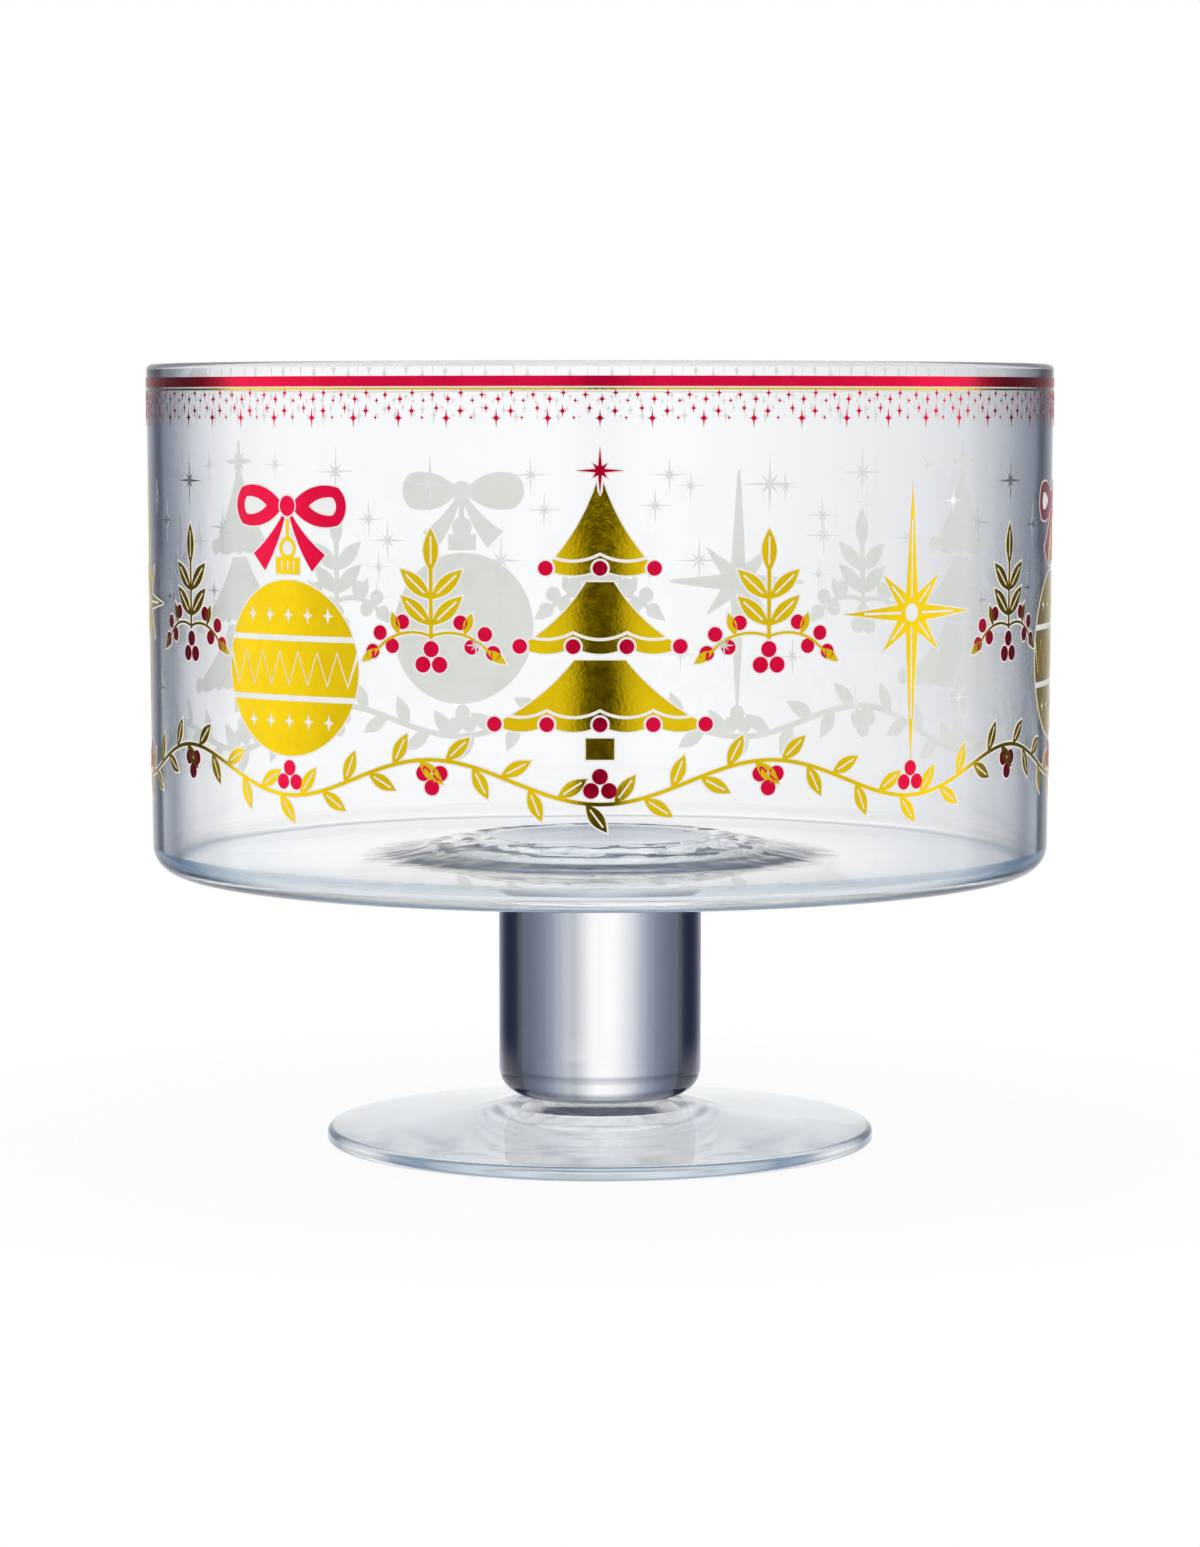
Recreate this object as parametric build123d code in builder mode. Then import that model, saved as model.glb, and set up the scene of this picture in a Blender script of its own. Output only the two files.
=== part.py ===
"""Footed glass trifle bowl: a straight-sided bowl on a solid stem and a round foot, with a fired print.

Millimetres, +Z up. The origin is on the table, under the middle of the foot. Angle 0 faces -Y.
"""

import os
from math import atan2, cos, pi, radians, sin

from build123d import *

# Bowl
total_height = 181.0
rim_radius = 105.0
wall_taper = 0.8
wall_thickness = 2.8
rim_bevel = 0.9
heel_round = 6.5
inner_heel_round = 6.0
underside_rise = 0.6
floor_thickness = 3.2
mound_radius = 56.0
mound_height = 4.4
dish_radius = 26.0
dish_depth = 0.9

# Stem
stem_radius = 23.7
stem_length = 52.8
stem_round = 6.5

# Foot
foot_radius = 64.0
foot_height = 10.4
foot_edge = 3.2
foot_edge_round = 1.6
foot_edge_bevel = 1.0
collar_radius = 29.0
collar_height = 7.0
collar_round = 20.0
hollow_radius = 46.0
hollow_depth = 1.8

# Print, with each drop measured down from the rim
film_thickness = 0.15
film_clearance = 0.02
print_lead = 1.0
print_reach = 12.0
band_drop = 3.2
band_height = 2.2
line_gap = 0.35
line_height = 0.4
frieze_count = 60
frieze_drop = 12.2
frieze_star_height = 4.2
frieze_star_width = 2.2
motif_repeats = 3
motif_step = 40.0

# Fir tree, measured up from the foot of its trunk
tree_drop = 84.0
trunk_width = 6.0
trunk_height = 4.5
tier_pitch = 16.5
top_tier_height = 19.0
tier_gap = 1.4
tier_scallop = 1.5
tier_side_bow = 1.3
tip_width = 0.8
top_tier_width = 23.0
tier_width_step = 11.0
tier_shoulder_step = 5.0

# Bauble and bow
bauble_drop = 66.0
bauble_radius = 19.0
bauble_stripe = 1.3
bauble_stripe_offset = 6.5
cap_width = 7.0
cap_height = 3.6
bow_drop = 31.0
bow_loop_length = 12.0
bow_loop_width = 8.0
bow_tail_length = 14.0
bow_tail_width = 3.6
knot_width = 4.4
thread_width = 0.8
thread_gap = 0.6

# Festive star
star_drop = 54.0
star_ray_up = 28.0
star_ray_down = 32.0
star_ray_side = 18.5
star_ray_slant = 11.5
star_core = 4.4
star_hole_radius = 2.0

# Leaf sprig, between two motifs
sprig_drop = 56.0
sprig_leaf_length = 9.5
sprig_leaf_width = 3.4
sprig_leaf_pitch = 5.6
sprig_leaf_angle = 42.0
sprig_leaf_pairs = 2
sprig_stem_width = 0.8
sprig_stem_tail = 2.8
leaf_sides = 4
berry_radius = 1.75
berry_sides = 10
berry_ring_radius = 2.2
berry_gap = 0.4

# Sparkles
sparkle_length = 6.0
sparkle_core = 0.75
sparkle_drop = 33.0
sparkle_top_drop = 26.0
sparkle_spread = 7.5

# Sizes and heights that follow from those above
base_radius = rim_radius - wall_taper
underside = foot_height + stem_length
heel_height = underside + underside_rise
floor_height = heel_height + floor_thickness
mound_top = floor_height + mound_height
band_top = total_height - band_drop
band_bottom = band_top - band_height
line_top = band_bottom - line_gap
skin_bottom = heel_height + heel_round
skin_top = total_height - rim_bevel


def wall_radius(height):
    """Outer radius of the tapered wall at a height above the table."""
    share = (height - heel_height) / (total_height - heel_height)
    return base_radius + wall_taper * share


def wall_plane(angle, drop, stand_off):
    """Plane along the wall, x to the right and y up seen from outside, at a distance from the glass."""
    height = total_height - drop
    turn = radians(angle)
    taper = atan2(wall_taper, total_height - heel_height)
    outward = Vector(sin(turn), -cos(turn), 0)
    origin = outward * wall_radius(height) + Vector(0, 0, height)
    normal = outward * cos(taper) - Vector(0, 0, sin(taper))
    return Plane(origin=origin, x_dir=(cos(turn), sin(turn), 0), z_dir=normal).offset(stand_off)


def film_section(bottom, top):
    """Section of a thin film lying on the wall between two heights."""
    low_radius = wall_radius(bottom) + film_clearance
    high_radius = wall_radius(top) + film_clearance
    with BuildSketch(Plane.XZ) as section:
        Polygon(
            (low_radius, bottom),
            (low_radius + film_thickness, bottom),
            (high_radius + film_thickness, top),
            (high_radius, top),
            align=None,
        )
    return section.sketch


def outline(*corners):
    """Face inside corners (x, y, bulge), where bulge is how far the next side bows to its left."""
    with BuildLine() as border:
        for (x, y, bulge), (next_x, next_y, _) in zip(corners, corners[1:] + corners[:1]):
            if bulge:
                SagittaArc((x, y), (next_x, next_y), bulge)
            else:
                Line((x, y), (next_x, next_y))
    make_face(border.edges())


def rays(lengths, core):
    """Corners of a star with a ray at each length, evenly round from the right, and its inner corners."""
    half_step = 180 / len(lengths)
    corners = []
    for index, length in enumerate(lengths):
        ray = radians(2 * half_step * index)
        inner = radians(2 * half_step * index + half_step)
        corners.append((length * cos(ray), length * sin(ray)))
        corners.append((core * cos(inner), core * sin(inner)))
    return corners


def leaf(base, lift, length, width):
    """Pointed leaf growing from a base point at an angle to the right."""
    shares = [index / leaf_sides for index in range(leaf_sides + 1)]
    right = [(length * share, -width / 2 * sin(pi * share)) for share in shares]
    left = [(x, -y) for x, y in right[-2:0:-1]]
    with Locations(Location((*base, 0), (0, 0, lift))):
        Polygon(*right, *left, align=None)


# Bowl
with BuildPart() as bowl:
    with BuildSketch(Plane.XZ):
        with BuildLine():
            FilletPolyline(
                (mound_radius, floor_height),
                (wall_radius(floor_height) - wall_thickness, floor_height),
                (wall_radius(skin_top) - wall_thickness, skin_top),
                (rim_radius - wall_thickness + rim_bevel, total_height),
                (rim_radius - rim_bevel, total_height),
                (wall_radius(skin_top), skin_top),
                (base_radius, heel_height),
                (stem_radius, underside),
                radius=(inner_heel_round, 0, 0, 0, 0, heel_round),
            )
            Polyline(
                (stem_radius, underside),
                (0, underside),
                (0, mound_top - dish_depth),
            )
            TangentArc((0, mound_top - dish_depth), (dish_radius, mound_top), tangent=(1, 0))
            mound_middle = ((dish_radius + mound_radius) / 2, (mound_top + floor_height) / 2)
            crown = TangentArc((dish_radius, mound_top), mound_middle, tangent=(1, 0))
            TangentArc(mound_middle, (mound_radius, floor_height), tangent=crown % 1)
        make_face()
    revolve(axis=Axis.Z)

# Stem
with BuildPart() as stem:
    with BuildSketch(Plane.XZ):
        with BuildLine():
            FilletPolyline(
                (0, foot_height),
                (stem_radius, foot_height),
                (stem_radius, underside),
                (0, underside),
                radius=(stem_round, 0),
            )
            Line((0, underside), (0, foot_height))
        make_face()
    revolve(axis=Axis.Z)

# Foot
with BuildPart() as foot:
    pad_radius = stem_radius - stem_round
    with BuildSketch(Plane.XZ):
        with BuildLine():
            FilletPolyline(
                (0, hollow_depth),
                (hollow_radius, 0),
                (foot_radius - foot_edge_bevel, 0),
                (foot_radius, foot_edge_bevel),
                (foot_radius, foot_edge),
                (collar_radius, collar_height),
                (pad_radius, foot_height),
                radius=(0, 0, 0, foot_edge_round, collar_round),
            )
            Polyline((pad_radius, foot_height), (0, foot_height), (0, hollow_depth))
        make_face()
    revolve(axis=Axis.Z)

# Red band under the rim
with BuildPart() as rim_band:
    revolve(film_section(band_bottom, band_top), axis=Axis.Z)

# Fine gold line under the band
with BuildPart() as rim_line:
    revolve(film_section(line_top - line_height, line_top), axis=Axis.Z)

# Thin skin all over the wall, from which each motif is cut
with BuildPart() as film_skin:
    revolve(film_section(skin_bottom, skin_top), axis=Axis.Z)

# Row of small red stars
with BuildPart() as frieze_star:
    with BuildSketch(wall_plane(0, frieze_drop, film_clearance)):
        half_height = frieze_star_height / 2
        half_width = frieze_star_width / 2
        Polygon((half_width, 0), (0, half_height), (-half_width, 0), (0, -half_height), align=None)
    extrude(amount=film_thickness)
with BuildPart() as star_frieze:
    with PolarLocations(0, frieze_count):
        add(frieze_star.part)

# Gold fir tree of three scalloped tiers
with BuildPart() as fir_tree:
    with BuildSketch(wall_plane(0, tree_drop, print_lead)):
        with Locations((0, trunk_height / 2)):
            Rectangle(trunk_width, trunk_height)
        for tier in range(3):
            bottom = trunk_height + tier_gap + tier_scallop + tier_pitch * tier
            rank = 2 - tier
            half = (top_tier_width + tier_width_step * rank) / 2
            shoulder = tier_shoulder_step * rank
            top = bottom + (tier_pitch - tier_gap - tier_scallop if rank else top_tier_height)
            count = rank + 2
            pitch = 2 * half / count
            lower = [(index * pitch - half, bottom, -tier_scallop) for index in range(count)]
            outline(
                *lower,
                (half, bottom, tier_side_bow),
                (shoulder / 2 + tip_width / 2, top, 0),
                (-shoulder / 2 - tip_width / 2, top, tier_side_bow),
            )
    extrude(amount=-print_reach)
    add(film_skin.part, mode=Mode.INTERSECT)
with BuildPart() as fir_trees:
    with PolarLocations(0, motif_repeats):
        add(fir_tree.part)

# Gold bauble with two clear stripes, a cap and a thread up to its bow
with BuildPart() as bauble:
    with BuildSketch(wall_plane(-motif_step, bauble_drop, print_lead)):
        Circle(bauble_radius)
        with Locations((0, bauble_stripe_offset), (0, -bauble_stripe_offset)):
            Rectangle(2 * bauble_radius, bauble_stripe, mode=Mode.SUBTRACT)
        cap_bottom = bauble_radius + bauble_stripe
        with Locations((0, cap_bottom + cap_height / 2)):
            Rectangle(cap_width, cap_height)
        thread_bottom = cap_bottom + cap_height
        thread_top = bauble_drop - bow_drop - knot_width / 2 - thread_gap
        with Locations((0, (thread_bottom + thread_top) / 2)):
            Rectangle(thread_width, thread_top - thread_bottom)
    extrude(amount=-print_reach)
    add(film_skin.part, mode=Mode.INTERSECT)
with BuildPart() as baubles:
    with PolarLocations(0, motif_repeats):
        add(bauble.part)

# Red bow above the bauble
with BuildPart() as bow:
    with BuildSketch(wall_plane(-motif_step, bow_drop, print_lead)):
        Circle(knot_width / 2)
        for side in (1, -1):
            root = side * knot_width / 4
            tip = side * (knot_width / 2 + bow_loop_length)
            outline(
                (root, 0, -side * bow_loop_width / 4),
                (tip, -bow_loop_width / 2, side * -bow_loop_width / 4),
                (tip, bow_loop_width / 2, -side * bow_loop_width / 4),
            )
            end = side * bow_tail_length / 2
            Polygon(
                (0, 0),
                (end, -bow_tail_length),
                (end + side * bow_tail_width, bow_tail_width - bow_tail_length),
                align=None,
            )
    extrude(amount=-print_reach)
    add(film_skin.part, mode=Mode.INTERSECT)
with BuildPart() as bauble_bows:
    with PolarLocations(0, motif_repeats):
        add(bow.part)

# Gold star with long upright rays
with BuildPart() as festive_star:
    with BuildSketch(wall_plane(motif_step, star_drop, print_lead)):
        slant = star_ray_slant
        lengths = (star_ray_side, slant, star_ray_up, slant, star_ray_side, slant, star_ray_down, slant)
        Polygon(*rays(lengths, star_core), align=None)
        Circle(star_hole_radius, mode=Mode.SUBTRACT)
    extrude(amount=-print_reach)
    add(film_skin.part, mode=Mode.INTERSECT)
with BuildPart() as festive_stars:
    with PolarLocations(0, motif_repeats):
        add(festive_star.part)

# Gold leaf sprigs between the motifs
with BuildPart() as sprig:
    with BuildSketch(wall_plane(motif_step / 2, sprig_drop, film_clearance)):
        for pair in range(sprig_leaf_pairs):
            rise = pair * sprig_leaf_pitch
            leaf((0, rise), sprig_leaf_angle, sprig_leaf_length, sprig_leaf_width)
            leaf((0, rise), 180 - sprig_leaf_angle, sprig_leaf_length, sprig_leaf_width)
        stem_top = sprig_leaf_pairs * sprig_leaf_pitch
        leaf((0, stem_top), 90, sprig_leaf_length, sprig_leaf_width)
        stem_end = stem_top + sprig_leaf_length / 4
        with Locations((0, (stem_end - sprig_stem_tail) / 2)):
            Rectangle(sprig_stem_width, stem_end + sprig_stem_tail)
    extrude(amount=film_thickness)
with BuildPart() as sprig_leaves:
    with PolarLocations(0, round(360 / motif_step)):
        add(sprig.part)

# Red berries, three under each sprig
with BuildPart() as berry_group:
    berry_drop = sprig_drop + sprig_stem_tail + berry_gap + berry_radius + berry_ring_radius
    with BuildSketch(wall_plane(motif_step / 2, berry_drop, film_clearance)):
        with PolarLocations(berry_ring_radius, 3, start_angle=90):
            RegularPolygon(berry_radius, berry_sides)
    extrude(amount=film_thickness)
with BuildPart() as berries:
    with PolarLocations(0, round(360 / motif_step)):
        add(berry_group.part)

# Silver sparkles
with BuildPart() as sparkle_group:
    for side, drop in ((-1, sparkle_drop), (0, sparkle_top_drop), (1, sparkle_drop)):
        with BuildSketch(wall_plane(motif_step / 2 + side * sparkle_spread, drop, film_clearance)):
            Polygon(*rays([sparkle_length] * 4, sparkle_core), align=None)
        extrude(amount=film_thickness)
with BuildPart() as sparkles:
    with PolarLocations(0, round(360 / motif_step)):
        add(sparkle_group.part)

os.makedirs("parts", exist_ok=True)
pieces = {
    "bowl": bowl,
    "stem": stem,
    "foot": foot,
    "rim_band": rim_band,
    "rim_line": rim_line,
    "star_frieze": star_frieze,
    "fir_trees": fir_trees,
    "baubles": baubles,
    "bauble_bows": bauble_bows,
    "festive_stars": festive_stars,
    "sprig_leaves": sprig_leaves,
    "berries": berries,
    "sparkles": sparkles,
}
for name, piece in pieces.items():
    piece.part.label = name
    export_step(piece.part, f"parts/{name}.step")
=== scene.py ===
"""Looks of the footed trifle bowl: turned glass, a foil print fired on its wall, and a white studio.

Shapes are in millimetres and become metres where a mesh is made. Angle 0 faces -Y, as in the CAD.
"""
from math import atan, atan2, ceil, cos, degrees, hypot, pi, radians, sin, tan

import bpy
import numpy as np
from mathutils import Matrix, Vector, noise
from mathutils.geometry import delaunay_2d_cdt


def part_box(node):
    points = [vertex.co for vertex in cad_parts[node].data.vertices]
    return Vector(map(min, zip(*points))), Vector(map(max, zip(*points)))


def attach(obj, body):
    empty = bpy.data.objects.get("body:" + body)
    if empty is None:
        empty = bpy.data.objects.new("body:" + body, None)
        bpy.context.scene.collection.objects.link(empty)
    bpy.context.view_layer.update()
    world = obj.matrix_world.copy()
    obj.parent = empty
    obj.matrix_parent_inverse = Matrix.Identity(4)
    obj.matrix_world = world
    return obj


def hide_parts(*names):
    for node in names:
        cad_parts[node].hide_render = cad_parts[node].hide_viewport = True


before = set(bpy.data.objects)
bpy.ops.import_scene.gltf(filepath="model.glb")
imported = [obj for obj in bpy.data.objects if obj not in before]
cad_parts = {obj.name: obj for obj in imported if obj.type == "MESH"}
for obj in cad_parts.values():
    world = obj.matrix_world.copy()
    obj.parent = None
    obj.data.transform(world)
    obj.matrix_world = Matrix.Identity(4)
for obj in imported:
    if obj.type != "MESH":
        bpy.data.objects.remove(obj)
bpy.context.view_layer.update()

MM = 0.001

# Sizes that the frame gives
total_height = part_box("bowl")[1].z / MM
rim_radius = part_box("bowl")[1].x / MM
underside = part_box("bowl")[0].z / MM
stem_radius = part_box("stem")[1].x / MM
foot_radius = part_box("foot")[1].x / MM
foot_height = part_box("foot")[1].z / MM

# Sizes of the glass, as in the CAD
wall_taper = 0.8
wall_thickness = 2.8
heel_round = 6.5
underside_rise = 0.6
floor_thickness = 3.2
mound_radius = 56.0
mound_height = 4.4
dish_radius = 26.0
dish_depth = 0.9
stem_round = 6.5
foot_edge = 3.2
collar_radius = 29.0
collar_height = 7.0
collar_round = 20.0
hollow_radius = 46.0
hollow_depth = 1.8
heel_height = underside + underside_rise
floor_height = heel_height + floor_thickness
mound_top = floor_height + mound_height
pad_radius = stem_radius - stem_round

# Rounds of the edges and corners, which differ a little from the CAD's rounds and bevels
rim_round = 1.3
inner_heel_round = 3.0
foot_edge_round = 1.5
foot_base_round = 0.9
hollow_round = 60.0

# Ripples on the mound, and where a piece changes its look, as where painted shade starts on the stem's low
# end
ripple_height = 0.3
ripple_count = 4
edge_width = 2.0
shaded_height = 1.4
joint_slack = 0.01

# How finely the glass is turned, and how far hand-worked faces wander from true
turn_steps = 360
arc_steps = 10
slope_steps = 40
profile_step = 5.0
glass_smooth_angle = 38.0
wave_height = 0.05
wave_length = 30.0
stem_waviness = 1.6
pad_clearance = 1.0

# Layers of the print, measured out from the wall, and how finely they are cut
base_lift = 0.02
foil_lift = 0.05
foil_top = 0.13
base_margin = 0.35
outline_step = 0.8
fill_step = 1.8
film_smooth_angle = 40.0

# Places of the print: angles in degrees, and drops measured down from the rim
band_drop = 3.2
band_height = 2.2
line_gap = 0.35
line_height = 0.4
frieze_drop = 12.2
frieze_units = 60
motif_count = 9
motif_repeats = 3
tree_drop = 84.0
bauble_drop = 66.0
bow_drop = 31.0
star_drop = 54.0
sprig_drop = 56.0
vine_drop = 89.0
vine_swing = 4.5
motif_step = 360 / motif_count


def wall_radius(height):
    """Outer radius of the tapered wall at a height above the table."""
    return rim_radius - wall_taper * (total_height - height) / (total_height - heel_height)


# Profiles and turned pieces


def rounded(corners):
    """Points along corners (r, z, radius), with each corner rounded by its radius."""
    points = []
    for index, (r, z, radius) in enumerate(corners):
        corner = Vector((r, z))
        if not radius:
            points.append(corner)
            continue
        to_last = (Vector(corners[index - 1][:2]) - corner).normalized()
        to_next = (Vector(corners[index + 1][:2]) - corner).normalized()
        half = to_last.angle(to_next) / 2
        centre = corner + (to_last + to_next).normalized() * radius / sin(half)
        start = corner + to_last * radius / tan(half) - centre
        end = corner + to_next * radius / tan(half) - centre
        turn = atan2(start.x * end.y - start.y * end.x, start.dot(end))
        for step in range(arc_steps + 1):
            angle = atan2(start.y, start.x) + turn * step / arc_steps
            points.append(centre + radius * Vector((cos(angle), sin(angle))))
    return points


def spread(points, longest):
    """The same points, with more between any two that are far apart."""
    result = [points[0]]
    for last, point in zip(points, points[1:]):
        count = max(1, ceil((point - last).length / longest))
        result += [last.lerp(point, step / count) for step in range(1, count + 1)]
    return result


def finish_piece(name, points, faces, slots, materials, smooth_angle):
    """Object in the scene from points in millimetres and faces with their material numbers."""
    mesh = bpy.data.meshes.new(name)
    mesh.from_pydata([point * MM for point in points], [], faces)
    for material in materials:
        mesh.materials.append(material)
    mesh.polygons.foreach_set("material_index", slots)
    mesh.polygons.foreach_set("use_smooth", [True] * len(faces))
    mesh.set_sharp_from_angle(angle=radians(smooth_angle))
    mesh.update()
    piece = bpy.data.objects.new(name, mesh)
    bpy.context.scene.collection.objects.link(piece)
    return piece


def turned(name, profile, skins, region, wavy=None, closed=False):
    """Piece turned about the Z axis from a profile that runs up the outside and back down the inside.

    The skins are its materials by name, and region(radius, height) names the one there.
    """
    points, rings = [], []
    for r, z in profile:
        ring = []
        for step in range(turn_steps if r > 0 else 1):
            angle = 2 * pi * step / turn_steps
            ring.append(len(points))
            points.append(Vector((r * cos(angle), r * sin(angle), z)))
        rings.append(ring)
    count = len(profile)
    numbers = {skin: number for number, skin in enumerate(skins)}
    faces, slots = [], []
    for first in range(count if closed else count - 1):
        second = (first + 1) % count
        low, high = rings[first], rings[second]
        middle = (profile[first] + profile[second]) / 2
        slot = numbers[region(*middle)]
        for step in range(turn_steps):
            after = (step + 1) % turn_steps
            if len(low) == 1:
                face = (low[0], high[after], high[step])
            elif len(high) == 1:
                face = (low[step], low[after], high[0])
            else:
                face = (low[step], low[after], high[after], high[step])
            faces.append(face)
            slots.append(slot)
    if wavy:
        points = [waved(point, wavy) for point in points]
    return finish_piece(name, points, faces, slots, skins.values(), glass_smooth_angle)


def waved(point, wavy):
    """A point of the glass moved a little, by as much as wavy(radius, height) says there."""
    amount = wave_height * wavy(hypot(point.x, point.y), point.z)
    if not amount:
        return point
    where = point / wave_length
    return point + amount * Vector((noise.noise(where), noise.noise(where.yzx), noise.noise(where.zxy)))


def bowl_profile():
    """Bowl from its underside's middle, up the outside, over the rim and down to its floor's middle."""
    inner_radius = wall_radius(floor_height) - wall_thickness
    shell = rounded([
        (0, underside, 0),
        (stem_radius, underside, 0),
        (wall_radius(heel_height), heel_height, heel_round),
        (rim_radius, total_height, rim_round),
        (rim_radius - wall_thickness, total_height, rim_round),
        (inner_radius, floor_height, inner_heel_round),
        (mound_radius, floor_height, 0),
    ])
    mound = []
    for step in range(1, slope_steps + 1):
        share = step / slope_steps
        rise = mound_height * (1 - cos(pi * share)) / 2
        rise += ripple_height * share * sin(2 * pi * ripple_count * share)
        mound.append(Vector((mound_radius + (dish_radius - mound_radius) * share, floor_height + rise)))
    dish = []
    for step in range(1, arc_steps + 1):
        share = 1 - step / arc_steps
        dish.append(Vector((dish_radius * share, mound_top - dish_depth * (1 - share**2))))
    return spread(shell + mound + dish, profile_step)


def stem_profile():
    """Stem from the middle of the foot's pad, up to the middle of the bowl's underside."""
    return spread(rounded([
        (0, foot_height, 0),
        (stem_radius, foot_height, stem_round),
        (stem_radius, underside, 0),
        (0, underside, 0),
    ]), profile_step)


def foot_profile():
    """Foot from the middle of its hollow underside, round its edge and up to the pad under the stem."""
    return spread(rounded([
        (0, hollow_depth, 0),
        (hollow_radius, 0, hollow_round),
        (foot_radius, 0, foot_base_round),
        (foot_radius, foot_edge, foot_edge_round),
        (collar_radius, collar_height, collar_round),
        (pad_radius, foot_height, 0),
        (0, foot_height, 0),
    ]), profile_step)


def on_joint(radius, height):
    """Whether a face is where stem meets bowl or foot. Such faces are fused and don't show."""
    under_bowl = abs(height - underside) < joint_slack and radius < stem_radius
    on_foot = abs(height - foot_height) < joint_slack and radius < pad_radius
    return under_bowl or on_foot


def bowl_region(radius, height):
    """Which skin the bowl has there: "clear" on the inner wall and the underside."""
    if on_joint(radius, height):
        return "joint"
    if height > total_height - rim_round:
        return "rim"
    from_wall = wall_radius(height) - radius
    if from_wall < wall_thickness / 2:
        return "wall" if height > heel_height + heel_round else "heel"
    if from_wall < heel_round and height < heel_height + floor_thickness / 2:
        return "heel"
    if height > floor_height and radius < mound_radius:
        return "mound" if radius > dish_radius else "dish"
    on_curve = from_wall < wall_thickness + inner_heel_round
    if on_curve and floor_height < height < floor_height + inner_heel_round:
        return "curve"
    return "floor" if abs(height - floor_height) < joint_slack else "clear"


def stem_region(radius, height):
    """Which skin the stem has there: "shaded" on the low part of its rounded end."""
    if on_joint(radius, height):
        return "joint"
    return "shaded" if height < foot_height + shaded_height else "side"


def foot_region(radius, height):
    """Which skin the foot has there: painted crevice shade on its upper side under the stem's rounded end.
    """
    if on_joint(radius, height):
        return "joint"
    if radius > foot_radius - edge_width:
        return "edge"
    if height < foot_edge:
        return "base"
    return "crevice_shade" if radius < stem_radius else "top"


def inside_wave(radius, height):
    """Waves on the bowl's inner wall and floor, none on the printed outside, the rim or the joint."""
    clear_of_wall = wall_radius(height) - radius > wall_thickness / 2
    lowest, highest = heel_height + floor_thickness / 2, total_height - 2 * rim_round
    return 1.0 if clear_of_wall and lowest < height < highest else 0.0


def stem_wave(radius, height):
    """Waves on the stem's side that die out at both joints."""
    share = (height - foot_height) / (underside - foot_height)
    return stem_waviness * sin(pi * share) ** 0.5 if 0 < share < 1 and radius > pad_radius else 0.0


def foot_wave(radius, height):
    """Waves on the foot's upper side, away from its edge and its pad."""
    inner, outer = pad_radius + pad_clearance, foot_radius - 2 * foot_edge_round
    return 1.0 if height > foot_edge and inner < radius < outer else 0.0


# Flat outlines of the print


def arc(start, end, bulge=0):
    """Points from start up to end along a line that bows to its left by bulge."""
    least_steps = 6
    start, end = Vector(start), Vector(end)
    along = end - start
    count = max(1, ceil(along.length / outline_step))
    if not bulge:
        return [start.lerp(end, step / count) for step in range(count)]
    count = max(count, least_steps)
    half_chord = along.length / 2
    radius = (half_chord**2 + bulge**2) / (2 * bulge)
    half_turn = 2 * atan(bulge / half_chord)
    along.normalize()
    left = Vector((-along.y, along.x))
    middle = start.lerp(end, 0.5)
    points = []
    for step in range(count):
        turn = half_turn * (2 * step / count - 1)
        points.append(middle + along * radius * sin(turn) + left * (radius * cos(turn) - radius + bulge))
    return points


def outline(*corners):
    """Closed outline through corners (x, y) or (x, y, bulge of the next side)."""
    points = []
    for corner, after in zip(corners, corners[1:] + corners[:1]):
        points += arc(corner[:2], after[:2], *corner[2:])
    return points


def block(width, height, bottom=0.0):
    """Upright rectangle centred left to right."""
    half = width / 2
    return outline((-half, bottom), (half, bottom), (half, bottom + height), (-half, bottom + height))


def disc(x, y, radius):
    """Round outline."""
    least_steps = 12
    count = max(least_steps, ceil(2 * pi * radius / outline_step))
    turns = [2 * pi * step / count for step in range(count)]
    return [Vector((x + radius * cos(turn), y + radius * sin(turn))) for turn in turns]


def rays(lengths, core, x=0.0, y=0.0):
    """Star outline with a ray at each length, evenly round from the right."""
    half_step = pi / len(lengths)
    corners = []
    for index, length in enumerate(lengths):
        tip, notch = 2 * half_step * index, 2 * half_step * index + half_step
        corners.append((x + length * cos(tip), y + length * sin(tip)))
        corners.append((x + core * cos(notch), y + core * sin(notch)))
    return outline(*corners)


def leaf(base, lift, length, width):
    """Pointed leaf growing from a base point at an angle to the right."""
    side_steps = 8
    shares = [step / side_steps for step in range(side_steps + 1)]
    right = [Vector((length * share, -width / 2 * sin(pi * share))) for share in shares]
    left = [Vector((point.x, -point.y)) for point in right[-2:0:-1]]
    return [Vector(base) + turned_by(point, lift) for point in right + left]


def leaf_vein(base, lift, length, width):
    """Clear slit along the middle of such a leaf."""
    start_share, end_share = 0.2, 0.82
    ends = [Vector((start_share * length, 0)), Vector((end_share * length, 0))]
    return stroke([Vector(base) + turned_by(point, lift) for point in ends], width)


def turned_by(point, angle):
    """A flat point turned about the origin by degrees."""
    turn = radians(angle)
    return Vector((point.x * cos(turn) - point.y * sin(turn), point.x * sin(turn) + point.y * cos(turn)))


def flipped(points, side):
    """An outline as it is for side 1, and flipped left to right for side -1."""
    return [Vector((side * point.x, point.y)) for point in points]


def stroke(path, width):
    """Outline of a line of some width along a path."""
    path = [Vector(point) for point in path]
    left, right = [], []
    for index, point in enumerate(path):
        along = (path[min(index + 1, len(path) - 1)] - path[max(index - 1, 0)]).normalized()
        side = Vector((-along.y, along.x)) * width / 2
        left.append(point + side)
        right.append(point - side)
    return outline(*[tuple(point) for point in right + left[::-1]])


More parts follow.
